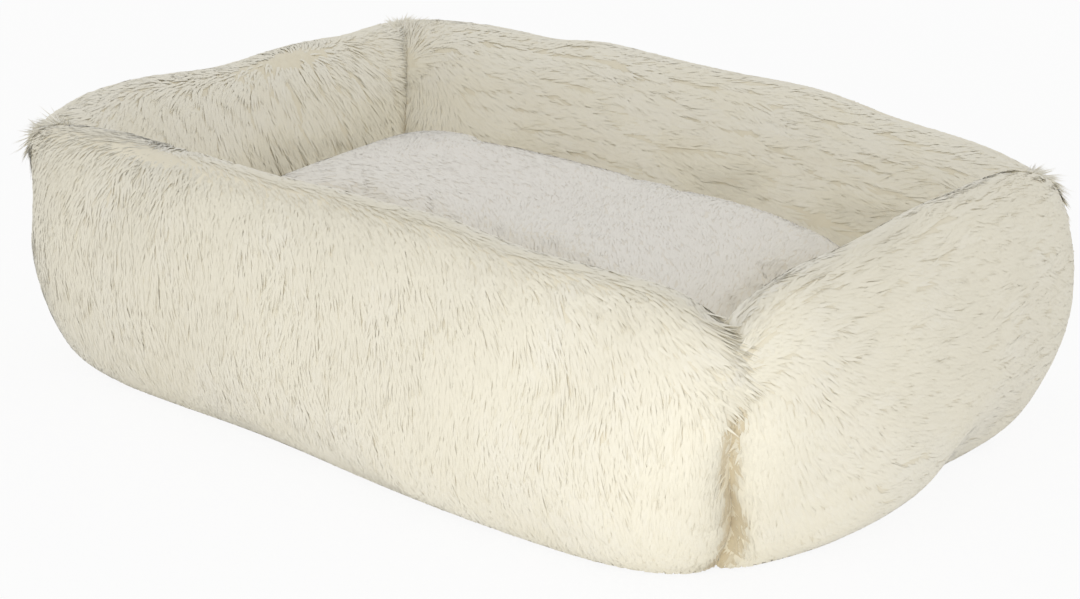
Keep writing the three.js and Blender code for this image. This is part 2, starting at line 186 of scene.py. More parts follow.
class BaseSettings(bpy.types.PropertyGroup):
    """The bottom cloth and the floor's lining."""

    tuck: millimetres("Tuck", "How far the bottom cloth's edge is tucked in under the walls", 6)
    dot_pitch: millimetres("Dot pitch", "Between the dots moulded on the bottom cloth", 24)
    dot_margin: millimetres("Dot margin", "Edge of the bottom cloth left without dots", 30)
    plain_corner: FloatVectorProperty(
        name="Plain corner", description="Where corners without dots start each way, and their depth",
        default=(290 * MM, 150 * MM, 85 * MM), unit="LENGTH",
    )
    dot_radius: millimetres("Dot radius", "Radius of a dot", 3)
    dot_height: millimetres("Dot height", "Height of a dot", 0.8)
    quilt: millimetres("Quilting", "Between the lining's sewn lines, measured along a side", 75)
    quilt_reach: millimetres("Quilting reach", "How far from a sewn line the lining is drawn down", 6)
    bottom_colour: tint("Bottom colour", "Beige of the coated bottom cloth", (0.46, 0.42, 0.34))
    lining_colour: tint("Lining colour", "Cream of the floor's lining", (0.84, 0.80, 0.70))


class ZipSettings(bpy.types.PropertyGroup):
    """The zip's finishes and stitches."""

    teeth_reach: millimetres("Teeth reach", "Teeth and their cord, from the chain's middle", 2.85)
    stitch_pitch: millimetres("Stitch pitch", "Between stitches along the tape", 3.2)
    stitch_inset: millimetres("Stitch inset", "Stitches in from the tape's far edge", 0.9)
    thread: millimetres("Thread", "Thickness of the thread", 0.5)
    tape_colour: tint("Tape colour", "Cream of the tape, teeth and thread", (0.84, 0.80, 0.70))


class StageSettings(bpy.types.PropertyGroup):
    """Camera, floor and light."""

    azimuth: degrees("Azimuth", "Camera's turn round the bed", 39.13)
    elevation: degrees("Elevation", "Camera's height over the horizon", 23.4)
    distance: millimetres("Distance", "Camera to the middle of the bed's base", 2304)
    sky: number("Sky", "Strength of the even light from all round", 0.94)
    softbox: number("Softbox", "Power of the lamp beside the camera", 3.4)


# Shader maths

class Value:
    """A shader socket on which Python's operators build Math nodes."""

    def __init__(self, finish, socket):
        self.finish = finish
        self.socket = socket

    def math(self, operation, *others):
        """A Math node of this value and others."""
        return self.finish.add("ShaderNodeMath", {"operation": operation}, dict(enumerate([self, *others])))

    def __add__(self, other):
        return self.math("ADD", other)

    def __mul__(self, other):
        return self.math("MULTIPLY", other)

    def __sub__(self, other):
        return self.math("SUBTRACT", other)

    def __rsub__(self, other):
        return self * -1 + other


class Finish:
    """The nodes of a material, or of the world, under construction."""

    def __init__(self, owner):
        self.owner = owner
        owner.use_nodes = True
        self.tree = owner.node_tree
        self.tree.nodes.clear()

    def add(self, kind, settings=(), inputs=(), output=0):
        """A node of that kind, its settings made first, then the values or links of its sockets."""
        node = self.tree.nodes.new(kind)
        for name, value in dict(settings).items():
            if name == "stops":
                ramp = node.color_ramp
                while len(ramp.elements) < len(value):
                    ramp.elements.new(1)
                for element, (place, colour) in zip(ramp.elements, value):
                    element.position = place
                    element.color = (*colour, 1)
            else:
                setattr(node, name, value)
        for name, value in dict(inputs).items():
            if isinstance(value, Value):
                self.tree.links.new(value.socket, node.inputs[name])
            else:
                node.inputs[name].default_value = value
        return Value(self, node.outputs[output])

    def place(self):
        """Where a point lies in its object's own frame."""
        return self.add("ShaderNodeTexCoord", output="Object")

    def parts(self, place, count):
        """The first parts of a place: across, along and up."""
        return [self.add("ShaderNodeSeparateXYZ", {}, {0: place}, output=k) for k in range(count)]

    def clouds(self, place, scale, detail):
        """Noise from 0 to 1."""
        return self.add("ShaderNodeTexNoise", {}, {"Vector": place, "Scale": scale, "Detail": detail})

    def bump(self, height, strength, depth):
        """Relief too fine for the mesh."""
        return self.add("ShaderNodeBump", {}, {"Height": height, "Strength": strength, "Distance": depth})

    def blend(self, share, low, high):
        """A colour between two colours."""
        inputs = {0: share, 6: as_colour(low), 7: as_colour(high)}
        return self.add("ShaderNodeMix", {"data_type": "RGBA"}, inputs, output=2)

    def surface(self, **sockets):
        """The material, with its Principled shader and its output."""
        names = {name.replace("_", " ").title(): value for name, value in sockets.items()}
        names = {name: as_colour(value) if "Color" in name else value for name, value in names.items()}
        return self.finished(self.add("ShaderNodeBsdfPrincipled", {}, names), "ShaderNodeOutputMaterial")

    def finished(self, shader, kind):
        """What the nodes belong to, with a shader connected to its output node."""
        node = self.tree.nodes.new(kind)
        self.tree.links.new(shader.socket, node.inputs["Surface"])
        return self.owner


def as_colour(value):
    """A colour with its alpha, or a link left as it is."""
    return value if isinstance(value, Value) else (*value[:3], 1)


def scaled(colour, share):
    """A colour made darker or lighter."""
    return tuple(channel * share for channel in colour)


def pile_finish(name, colour, crease_shade_colour):
    """Pile whose map holds a tone across, from a crease's painted shade to white, and root to tip upwards."""
    finish = Finish(bpy.data.materials.new(name))
    tone, height = finish.parts(finish.add("ShaderNodeUVMap", {"uv_map": "OFBake"}), 2)
    white = tuple(channel ** 0.5 for channel in colour)
    # The tone ramp starts at the painted shade of a crease and ends in white
    stops = [(0, crease_shade_colour), (0.3, scaled(colour, 0.9)), (0.6, colour), (1, white)]
    shade = finish.add("ShaderNodeValToRGB", {"stops": stops}, {0: tone})
    # Painted shade: the pile darkens towards its roots
    root_shade_stops = [(0, (0.93, 0.9, 0.84)), (0.35, (1, 1, 1))]
    roots = finish.add("ShaderNodeValToRGB", {"stops": root_shade_stops}, {0: height})
    multiply = {"data_type": "RGBA", "blend_type": "MULTIPLY"}
    mixed = finish.add("ShaderNodeMix", multiply, {0: 1.0, 6: shade, 7: roots}, output=2)
    return finish.surface(base_color=mixed, roughness=0.85, sheen_weight=0.3, sheen_roughness=0.5)


def wadding_finish():
    """White polyester fibre, matted in every direction: one material for every filling."""
    if "wadding" in bpy.data.materials:
        return bpy.data.materials["wadding"]
    finish = Finish(bpy.data.materials.new("wadding"))
    place = finish.place()
    layers = []
    for turn in ((0.3, 0.2, 0.1), (1.4, 0.5, 1.1), (0.7, 1.2, 2.2)):
        mapping = {"Vector": place, "Rotation": turn, "Scale": (60, 1400, 1400)}
        layers.append(finish.clouds(finish.add("ShaderNodeMapping", {}, mapping), 1.0, 2.0))
    fibres = layers[0].math("MAXIMUM", layers[1]).math("MAXIMUM", layers[2])
    height = fibres * 0.6 + finish.clouds(place, 45.0, 3.0) * 0.4
    colour = finish.blend(height, (0.72, 0.72, 0.70), (0.95, 0.95, 0.94))
    bump = finish.bump(height, 0.9, 1.5 * MM)
    return finish.surface(base_color=colour, roughness=0.9, sheen_weight=0.2, normal=bump)


def crossing(across, along, thread):
    """From 1 where a weave's warp lies over its weft to -1 where it lies under it."""
    return (across * thread).math("SINE") * (along * thread).math("SINE")


def cloth_finish(name, colour, pitch, roughness, quilt=0):
    """Plain weave whose threads follow the piece's own map in metres, sewn in squares where quilt says."""
    finish = Finish(bpy.data.materials.new(name))
    place = finish.add("ShaderNodeUVMap", {"uv_map": "cloth"})
    across, along = finish.parts(place, 2)
    thread = math.pi / pitch
    over = (across * thread * 2).math("SINE").math("ABSOLUTE")
    under = (along * thread * 2).math("SINE").math("ABSOLUTE")
    lifted = crossing(across, along, thread).math("GREATER_THAN", 0.0)
    weave = lifted * over + (1 - lifted) * under
    slub = finish.clouds(place, 260.0, 3.0)
    height = weave * 0.7 + slub * 0.3
    shade = weave * 0.25 + slub * 0.75
    if quilt:
        slants = (across + along, across - along)
        lines = [(slant * (1 / quilt)).math("PINGPONG", 0.5) * quilt for slant in slants]
        nearest = lines[0].math("MINIMUM", lines[1])
        dash = ((across - along) * (1 / (4 * MM))).math("FRACT").math("LESS_THAN", 0.62)
        sewn = nearest.math("LESS_THAN", 0.45 * MM) * dash
        height = height + sewn * 2
        shade = shade.math("MAXIMUM", sewn)
    mixed = finish.blend(shade, scaled(colour, 0.82), colour)
    bump = finish.bump(height, 0.7, 0.25 * MM)
    return finish.surface(base_color=mixed, roughness=roughness, sheen_weight=0.15, normal=bump)


def bottom_finish(colour):
    """Coated woven bottom cloth in grey-beige, and the softer, glossier dots moulded on it."""
    finish = Finish(bpy.data.materials.new("bottom_cloth"))
    place = finish.place()
    across, along, up = finish.parts(place, 3)
    weave = crossing(across, along, math.pi / (0.9 * MM)) * 0.5 + 0.5
    wear = finish.clouds(place, 35.0, 5.0)
    dots = up.math("LESS_THAN", 0.72 * MM)
    cloth = finish.blend(wear * 0.5 + weave * 0.5, scaled(colour, 0.78), colour)
    rubber = finish.blend(wear, (0.62, 0.59, 0.52), (0.74, 0.71, 0.64))
    mixed = finish.blend(dots, cloth, rubber)
    bump = finish.bump((1 - dots) * weave + wear * 0.3, 0.5, 0.2 * MM)
    return finish.surface(base_color=mixed, roughness=0.75 - dots * 0.25, normal=bump)


def zip_tape_finish(colour, seam, teeth_reach):
    """The zip's herringbone tape, and its smooth moulded teeth within their reach of the chain's middle."""
    finish = Finish(bpy.data.materials.new("zip_tape"))
    place = finish.place()
    across, _, up = finish.parts(place, 3)
    apart = (up - seam).math("ABSOLUTE")
    teeth = apart.math("LESS_THAN", teeth_reach)
    band = (apart * (1 / (1.5 * MM))).math("PINGPONG", 1.0)
    rib = (across * (1 / (0.45 * MM)) + band * 2).math("PINGPONG", 0.5) * 2
    grime = finish.clouds(place, 180.0, 3.0)
    cloth = finish.blend(rib * 0.6 + grime * 0.4, scaled(colour, 0.80), colour)
    plastic = finish.blend(grime, scaled(colour, 0.93), scaled(colour, 1.04))
    mixed = finish.blend(teeth, cloth, plastic)
    bump = finish.bump((1 - teeth) * rib, 0.8, 0.15 * MM)
    return finish.surface(base_color=mixed, roughness=0.8 - teeth * 0.45, normal=bump)


def zip_metal_finish():
    """Nickel-plated zinc with fine brushing."""
    finish = Finish(bpy.data.materials.new("zip_metal"))
    place = finish.place()
    brushed = finish.add("ShaderNodeMapping", {}, {"Vector": place, "Scale": (300, 6000, 6000)})
    grain = finish.clouds(brushed, 1.0, 2.0)
    colour = finish.blend(finish.clouds(place, 400.0, 4.0), (0.56, 0.55, 0.52), (0.72, 0.71, 0.68))
    bump = finish.bump(grain, 0.15, 0.03 * MM)
    return finish.surface(base_color=colour, metallic=1.0, roughness=grain * 0.2 + 0.2, normal=bump)


def thread_finish(colour):
    """Twisted sewing thread."""
    finish = Finish(bpy.data.materials.new("thread"))
    turned = finish.add("ShaderNodeMapping", {}, {"Vector": finish.place(), "Rotation": (0, 0.6, 0)})
    ply = finish.add("ShaderNodeTexWave", {"bands_direction": "X"}, {"Vector": turned, "Scale": 900.0})
    mixed = finish.blend(ply, scaled(colour, 0.75), colour)
    return finish.surface(base_color=mixed, roughness=0.6, sheen_weight=0.2)


# Meshes

def linked(name, data):
    """A new object in the scene."""
    piece = bpy.data.objects.new(name, data)
    bpy.context.scene.collection.objects.link(piece)
    return piece


def finished(name, bm):
    """The object of a finished bmesh."""
    mesh = bpy.data.meshes.new(name)
    bm.to_mesh(mesh)
    bm.free()
    return linked(name, mesh)


def settle(piece, body, replaced, material):
    """Puts a piece on its body, with its finish and the solids that it stands for."""
    piece.data.materials.append(material)
    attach(piece, body)
    if replaced:
        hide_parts(*replaced)


def unit(vectors):
    """Vectors at length one."""
    return vectors / np.maximum(np.linalg.norm(vectors, axis=-1, keepdims=True), 1e-12)


def smooth(low, high, value):
    """0 below low, 1 above high, and a smooth rise between them."""
    share = np.clip((value - low) / (high - low), 0, 1)
    return share * share * (3 - 2 * share)


def bell(away, width):
    """1 at no distance away, falling off smoothly over a width."""
    return np.exp(-(away / width) ** 2)


def between(low, high, share):
    """Vectors blended from low to high, by a share for each."""
    return low * (1 - share)[:, None] + high * share[:, None]


def noise_at(points, scale):
    """Noise from -1 to 1 at each of the points."""
    return np.array([noise.noise(Vector(point) * scale) for point in points])


def grid_sheet(columns, rows):
    """A flat grid with corners from -1 to 1 each way, as a bmesh of triangles and its corners' places."""
    bm = bmesh.new()
    bmesh.ops.create_grid(bm, x_segments=columns, y_segments=rows, size=1)
    bmesh.ops.triangulate(bm, faces=bm.faces[:])
    bm.verts.ensure_lookup_table()
    return bm, corners_of(bm)


def corners_of(bm):
    """The places of a bmesh's corners."""
    return np.array([v.co for v in bm.verts])


def triangles_of(bm):
    """The corners of a bmesh's triangles, by number."""
    return np.array([[v.index for v in f.verts] for f in bm.faces])


def place_corners(bm, points):
    """Moves a bmesh's corners to those places."""
    for v, place in zip(bm.verts, points):
        v.co = place


def shade_smooth(bm):
    """Shades a bmesh's faces as one curved surface."""
    for face in bm.faces:
        face.smooth = True


def corner_normals(points, faces):
    """A sheet's normal at each corner."""
    corners = points[faces]
    flat = np.cross(corners[:, 1] - corners[:, 0], corners[:, 2] - corners[:, 0])
    normals = np.zeros_like(points)
    for k in range(3):
        np.add.at(normals, faces[:, k], flat)
    return unit(normals)


def joined(points, faces):
    """Several sets of points, and the triangles on each, as one of each."""
    starts = np.cumsum([0] + [len(part) for part in points[:-1]])
    return np.concatenate(points), np.concatenate([part + start for part, start in zip(faces, starts)])


def joined_mesh(name, parts):
    """One object of several sets of corners, triangles, corner maps and shading normals of face corners."""
    points, faces, maps, facing = zip(*parts)
    points, faces = joined(points, faces)
    faces = faces.astype(np.int32)
    mesh = bpy.data.meshes.new(name)
    mesh.vertices.add(len(points))
    mesh.vertices.foreach_set("co", points.astype(np.float32).ravel())
    mesh.loops.add(faces.size)
    mesh.loops.foreach_set("vertex_index", faces.ravel())
    mesh.polygons.add(len(faces))
    mesh.polygons.foreach_set("loop_start", np.arange(0, faces.size, 3, dtype=np.int32))
    mesh.polygons.foreach_set("use_smooth", np.ones(len(faces), bool))
    layer = mesh.uv_layers.new(name="OFBake")
    layer.uv.foreach_set("vector", np.concatenate(maps).astype(np.float32)[faces.ravel()].ravel())
    mesh.update(calc_edges=True)
    mesh.validate()
    mesh.normals_split_custom_set(np.concatenate(facing).astype(np.float32))
    return linked(name, mesh)


def backing(bm, points, outward, thickness):
    """A sheet given its thickness inwards, as corners, faces, maps near the pile's roots and normals."""
    place_corners(bm, points)
    bm.normal_update()
    if sum(v.normal.dot(normal) for v, normal in zip(bm.verts, outward)) < 0:
        bmesh.ops.reverse_faces(bm, faces=bm.faces[:])
        bm.normal_update()
    bmesh.ops.solidify(bm, geom=bm.faces[:], thickness=thickness)
    bmesh.ops.triangulate(bm, faces=bm.faces[:])
    bm.verts.ensure_lookup_table()
    bm.verts.index_update()
    corners, faces = corners_of(bm), triangles_of(bm)
    bm.free()
    # The backing's map lies low on the tone ramp and near the roots, so it takes a little of the painted shade
    low, size = np.array([0.5, 0.1]), np.array([0.14, 0.1])
    maps = low + size * np.random.default_rng(3).random((len(corners), 2))
    # Solidify keeps the sheet's own corners first and adds the inner ones in the same order
    facing = np.concatenate([outward, -outward])[faces]
    return corners, faces, maps, facing.reshape(-1, 3)


def stuffed(name, bm, points, depth, seed):
    """A closed body of matted fibre over those places, lumpy down to a depth under them."""
    place_corners(bm, points)
    bmesh.ops.remove_doubles(bm, verts=bm.verts[:], dist=0.1 * MM)
    bmesh.ops.holes_fill(bm, edges=bm.edges[:], sides=0)
    bmesh.ops.triangulate(bm, faces=bm.faces[:])
    bmesh.ops.recalc_face_normals(bm, faces=bm.faces[:])
    bm.normal_update()
    for v in bm.verts:
        clump = noise.noise(v.co * CLUMPS_PER_METRE + Vector((seed, 0, 0)))
        tuft = noise.noise(v.co * TUFTS_PER_METRE + Vector((0, seed, 0)))
        v.co -= v.normal * depth * min(max(0.5 + 0.5 * clump + 0.35 * tuft, 0), 1)
    shade_smooth(bm)
    return finished(name, bm)


def cloth_piece(name, bm, points, thickness, lengths=None):
    """A cloth of some thickness over a grid's places, with a map in metres if its lengths are given."""
    if lengths is not None:
        layer = bm.loops.layers.uv.new("cloth")
        for face in bm.faces:
            for loop in face.loops:
                loop[layer].uv = (loop.vert.co.x * lengths[0] / 2, loop.vert.co.y * lengths[1] / 2)
    shade_smooth(bm)
    place_corners(bm, points)
    bmesh.ops.recalc_face_normals(bm, faces=bm.faces[:])
    bmesh.ops.solidify(bm, geom=bm.faces[:], thickness=thickness)
    return finished(name, bm)


# Pile

# A strand: how deep its root is set for its height, how far along it its widest ring lies and how much of its
# gathering it has there, how thick it is for its width, how rounded its shading is, and its change of tone
ROOT_DEPTH = 0.15
RING_PLACE = 0.42
RING_GATHER = 0.55
THICKNESS = 0.1
ROUNDING = 0.12
TONE_ACROSS = 0.012

# How much of its depth under a floor a strand keeps, and how low it and its edges may come, as shares of the
# floor's height
KEPT_DEPTH = 0.05
LOWEST_CURVE = 0.5
LOWEST_EDGE = 0.1


class Skin:
    """A sheet of triangles to plant pile on, with values at its corners or the same value everywhere."""

    def __init__(self, points, faces, **fields):
        self.points = points
        self.faces = faces
        self.fields = {"point": points}
        for name, value in fields.items():
            self.fields[name] = np.full(len(points), value, float) if np.isscalar(value) else value

    def scattered(self, count, rng):
        """Places spread over the skin, closer where it is dense: each field at each place."""
        corners = self.points[self.faces]
        area = np.linalg.norm(np.cross(corners[:, 1] - corners[:, 0], corners[:, 2] - corners[:, 0]), axis=1)
        reached = np.cumsum(area * self.fields["dense"][self.faces].mean(1))
        at = (np.arange(count) + rng.random(count)) / count * reached[-1]
        face = self.faces[np.minimum(np.searchsorted(reached, at), len(self.faces) - 1)]
        share = rng.random((count, 2))
        over = share.sum(1) > 1
        share[over] = 1 - share[over]
        weights = np.column_stack([1 - share.sum(1), share])
        mixed = "ij,ij...->i..."
        return {name: np.einsum(mixed, weights, value[face]) for name, value in self.fields.items()}


def ground_of(sheets):
    """What finds the nearest place on several sheets, each its points and triangles."""
    points, faces = joined(*zip(*sheets))
    return BVHTree.FromPolygons(points.tolist(), faces.tolist())


def laid(places, height, ground):
    """Places brought to their heights over the nearest part of the ground."""
    found = [ground.find_nearest(place)[:2] for place in places.tolist()]
    nearest, facing = (np.array([pair[k] for pair in found]) for k in range(2))
    above = ((places - nearest) * facing).sum(1)
    return places + facing * (height - above)[:, None]


def locks(across, along, width, length, rng):
    """The nearest lock to each place: how far it is across and along, and four random numbers of its own."""
    lanes = 64
    table = rng.random((lanes, lanes, 6))
    column = np.floor(across / width).astype(int)
    best = np.full(len(across), np.inf)
    found = np.zeros((len(across), 6))
    for i in range(-1, 2):
        lane = column + i
        row = np.floor(along / length + 0.5 * (lane % 2)).astype(int)
        for j in range(-1, 2):
            luck = table[lane % lanes, (row + j) % lanes]
            to_across = (lane + 0.1 + 0.8 * luck[:, 0]) * width - across
            to_along = (row + j + 0.1 + 0.8 * luck[:, 1] - 0.5 * (lane % 2)) * length - along
            far = (to_across / width) ** 2 + (to_along / length) ** 2
            nearer = far < best
            best[nearer] = far[nearer]
            found[nearer] = np.column_stack([to_across, to_along, luck[:, 2:]])[nearer]
    return found


def strand_shape():
    """A strand's corners and faces, pointed at both ends: root at -1, its widest ring at 0, tip at 1."""
    bm = bmesh.new()
    bmesh.ops.create_uvsphere(bm, u_segments=3, v_segments=2, radius=1)
    bm.verts.ensure_lookup_table()
    points, faces = corners_of(bm), triangles_of(bm)
    bm.free()
    return points, faces


def pile(skin, count, lock_size, rng, ground, floor=-math.inf):
    """Strands planted on a skin and laid along the ground: corners, faces, maps and face corners' normals."""
    at = skin.scattered(count, rng)
    normal = unit(at["normal"])
    comb = unit(at["comb"] - normal * (at["comb"] * normal).sum(1, keepdims=True))
    side = np.cross(comb, normal)
    to_across, to_along, turn, size, rise, shade = locks(*at["lay"].T, *lock_size, rng).T
    luck = rng.normal(size=(count, 5))
    # Each measure of a strand varies with its lock, and a little by its own luck
    length = at["length"] * (0.8 + 0.35 * size + 0.1 * luck[:, 0])
    turned = at["swirl"] * (turn - 0.5) * 2 + 0.12 * luck[:, 1]
    ahead = comb * np.cos(turned)[:, None] + side * np.sin(turned)[:, None]
    gather = side * (to_across * at["pull"])[:, None] + comb * (to_along * at["pull"] * 0.3)[:, None]
    height = at["height"] * (0.75 + 0.5 * rise + 0.12 * luck[:, 2])
    stand = at["stand"] * np.exp(0.25 * luck[:, 3])
    root = at["point"] - normal * at["height"][:, None] * ROOT_DEPTH
    ring = laid(root + ahead * (length * RING_PLACE)[:, None] + gather * RING_GATHER, height, ground)
    tip = laid(root + ahead * length[:, None] + gather, height * stand, ground)
    for place in (root, ring, tip):
        low = place[:, 2] < floor
        place[low, 2] = floor + (place[low, 2] - floor) * KEPT_DEPTH
        place[:, 2] = np.maximum(place[:, 2], floor * LOWEST_CURVE)
    width = at["width"] * (0.85 + 0.3 * rng.random(count))
    tone = np.clip(at["tone"] + 0.08 * (shade - 0.5) + 0.02 * luck[:, 4], 0.03, 0.97)
    return strands((root, ring, tip), normal, width, tone, floor)


def strands(curve, normal, width, tone, floor):
    """Strands along curves through root, ring and tip: corners, faces, maps and face corners' normals."""
    root, _, tip = curve
    points, faces = strand_shape()
    s = (points[:, 2] + 1) / 2
    weights = [(1 - s) * (1 - 2 * s), 4 * s * (1 - s), s * (2 * s - 1)]
    centre = sum(weight[None, :, None] * place[:, None, :] for weight, place in zip(weights, curve))
    heading = unit(tip - root)
    across = unit(np.cross(normal, heading))
    over = np.cross(heading, across)
    ring = over[:, None, :] * points[None, :, 0, None] * THICKNESS
    ring = ring - across[:, None, :] * points[None, :, 1, None]
    corners = centre + ring * (width / 2)[:, None, None]
    corners[:, :, 2] = np.maximum(corners[:, :, 2], floor * LOWEST_EDGE)
    u = tone[:, None] + points[None, :, 1] * TONE_ACROSS
    v = np.broadcast_to(s, u.shape)
    all_faces = faces[None] + (np.arange(len(root)) * len(points))[:, None, None]
    facing = unit(ring * ROUNDING + normal[:, None, :])[:, faces]
    beneath = points[faces][:, :, 0].max(1) < 0.5
    facing[:, beneath] = -over[:, None, None, :]
    maps = np.stack([u, v], -1)
    return corners.reshape(-1, 3), all_faces.reshape(-1, 3), maps.reshape(-1, 2), facing.reshape(-1, 3)


# Walls

def wall_outline(station, t, side, depth, half):
    """Out from the seam line and up, at stations along a wall and shares t from its foot to its ridge."""
    walls = bpy.context.scene.bed_walls
    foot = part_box("front_outer_panel")[0].z
    top_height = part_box("front_outer_panel")[1].z
    pull = np.exp(-(1 - np.abs(station)) * half / walls.corner_reach)
    share = {key: middle + (CORNER_SHARES[key] - middle) * pull for key, middle in MIDDLE_SHARES.items()}
    bow = walls.bow * (1 - station ** 2)
    top = top_height + (walls.corner_height - top_height) * pull
    rise = top - foot
    ridge = bow + share["ridge"] * walls.depth
    if side > 0:
        start = bow + share["foot"] * walls.depth
        belly = bow + share["bulge"] * walls.depth
        shoulder = ridge + share["shoulder"] * walls.depth
        height = share["bulge_height"]
    else:
        start = -walls.depth
        belly = share["belly"] * walls.depth
        shoulder = ridge - share["inner_shoulder"] * walls.depth
        height = share["belly_height"]
    xs = [start, belly, shoulder, ridge]
    ys = [foot, foot + height * rise, top, top]
    weights = [(1 - t) ** 3, 3 * (1 - t) ** 2 * t, 3 * (1 - t) * t ** 2, t ** 3]
    slopes = [-3 * (1 - t) ** 2, 3 * (1 - t) * (1 - 3 * t), 3 * t * (2 - 3 * t), 3 * t ** 2]
    x, y = (sum(w * p for w, p in zip(weights, line)) for line in (xs, ys))
    dx, dy = (sum(w * p for w, p in zip(slopes, line)) for line in (xs, ys))
    long = np.hypot(dx, dy)
    return x - side * dy / long * depth, y + side * dx / long * depth


def wall_lengths(turns):
    """Half a wall's length and its distance from the middle of the bed, at the upper seam line."""
    walls = bpy.context.scene.bed_walls
    lengths = (walls.seam_length / 2, walls.seam_width / 2)
    return lengths if turns % 2 == 0 else lengths[::-1]


def wall_places(station, out, up, half, apart, turns):
    """Places in the bed's frame of a wall's outline. The walls are mitred, so a station spreads outwards."""
    gap = 0.3 * MM
    x = station * (half + out - gap)
    y = -apart - out
    cos, sin = math.cos(turns * math.pi / 2), math.sin(turns * math.pi / 2)
    return np.column_stack([x * cos - y * sin, x * sin + y * cos, up])


def sunk(points):
    """Places on the walls once they have sunk with use, with soft lumps in their stuffing."""
    moved = points.copy()
    for middle, reach, push in SINKINGS.values():
        far = ((points - np.array(middle) * MM) ** 2).sum(1) / (reach * MM) ** 2
        moved += np.exp(-far)[:, None] * np.array(push) * MM
    lumps = [[noise.noise(Vector(p) * LUMPS_PER_METRE + shift) for shift in LUMP_SHIFTS] for p in points]
    return moved + np.array(lumps) * smooth(0, LUMP_HEIGHT, points[:, 2])[:, None] * LUMP_DEPTH


class WallSheet:
    """The root surface of one wall panel, in the bed's frame, with the marks that steer its pile."""

    columns = 150
    rows = 44

    # The near corner's ear, as a share of the others, and how much further than an ear the combing turns
    near_ear = 0.4
    turning_reach = 6

    # Half the heights of the inner pile's painted-shade and pressed bands, and the pile's patches to a metre
    contact_shade_band = 20 * MM
    pressed_band = 25 * MM
    patches_per_metre = 14

    def __init__(self, name, side):
        walls = bpy.context.scene.bed_walls
        self.name = name
        self.side = side
        self.bm, flat = grid_sheet(self.columns, self.rows)
        turns = WALLS[name]
        self.half, apart = wall_lengths(turns)
        self.station = flat[:, 0]
        self.t = (flat[:, 1] + 1) / 2
        out, up = wall_outline(self.station, self.t, side, walls.pile_depth, self.half)
        self.x = self.station * (self.half + out)
        self.points = sunk(wall_places(self.station, out, up, self.half, apart, turns))
        self.faces = triangles_of(self.bm)
        self.normals = corner_normals(self.points, self.faces)
        turn = turns * math.pi / 2
        self.along = np.array([math.cos(turn), math.sin(turn), 0])
        outward = np.array([math.sin(turn), -math.cos(turn), 0]) * side + np.array([0, 0, 0.6])
        if (self.normals @ outward).mean() < 0:
            self.faces = self.faces[:, ::-1]
            self.normals = -self.normals
        self.mark(walls)

    def mark(self, walls):
        """Where the pile is loose, drawn in, standing, turned or pressed, and the painted shade by the
        cushion.
        """
        x, y, z = self.points.T
        gap = (1 - np.abs(self.station)) * self.half
        inside = self.side < 0
        self.patch = noise_at(self.points, self.patches_per_metre)
        self.flank = 1 - smooth(0.5, 0.85, self.t)
        self.low = 1 - smooth(0.15, 0.45, self.t)
        self.ridge = smooth(0.88, 1, self.t)
        self.over = smooth(0.86, 0.96, self.t + 0.08 * self.patch) * inside
        # Near a corner seam: shorter, swirled pile, and painted shade in its tone
        self.groove = bell(gap, walls.groove * (1 + self.patch)) * self.flank
        near = np.where((x > 0) & (y < 0), self.near_ear, 1)
        self.ear = np.exp(-gap / walls.ear_reach) * smooth(0.6, 0.95, self.t) * near
        self.turning = np.exp(-gap / (self.turning_reach * walls.ear_reach))
        # Painted shade: a tan band, in patches, on the inner pile along the cushion's edge
        self.contact_shade = bell(z - walls.contact_shade_height, self.contact_shade_band) * inside * smooth(-0.1, 0.4, self.patch)
        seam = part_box("cushion_underside")[1].z
        self.pressed = bell(z - seam, self.pressed_band) * inside

    def combed(self, hang_reach):
        """Which way the pile lies, and where each place is across its locks and along them."""
        end = np.sign(self.station)
        lean = 0.5 + (end - 0.5) * self.turning
        comb = DOWN + self.along * (smooth(0.45, 0.85, self.t) * lean)[:, None]
        lay = np.column_stack([self.x, -self.t * 0.3])
        if (self.name, self.side) in LENGTHWAYS:
            way, droop = LENGTHWAYS[self.name, self.side]
            hanging = bell((1 + self.station * way) * self.half, hang_reach) * self.flank
            comb = between(self.along * way + DOWN * droop, comb, hanging)
            lay = lay[:, ::-1]
        comb = comb - DOWN * (self.over * 1.6)[:, None]
        return between(comb, self.along * end[:, None] - DOWN * 0.45, self.ear), lay


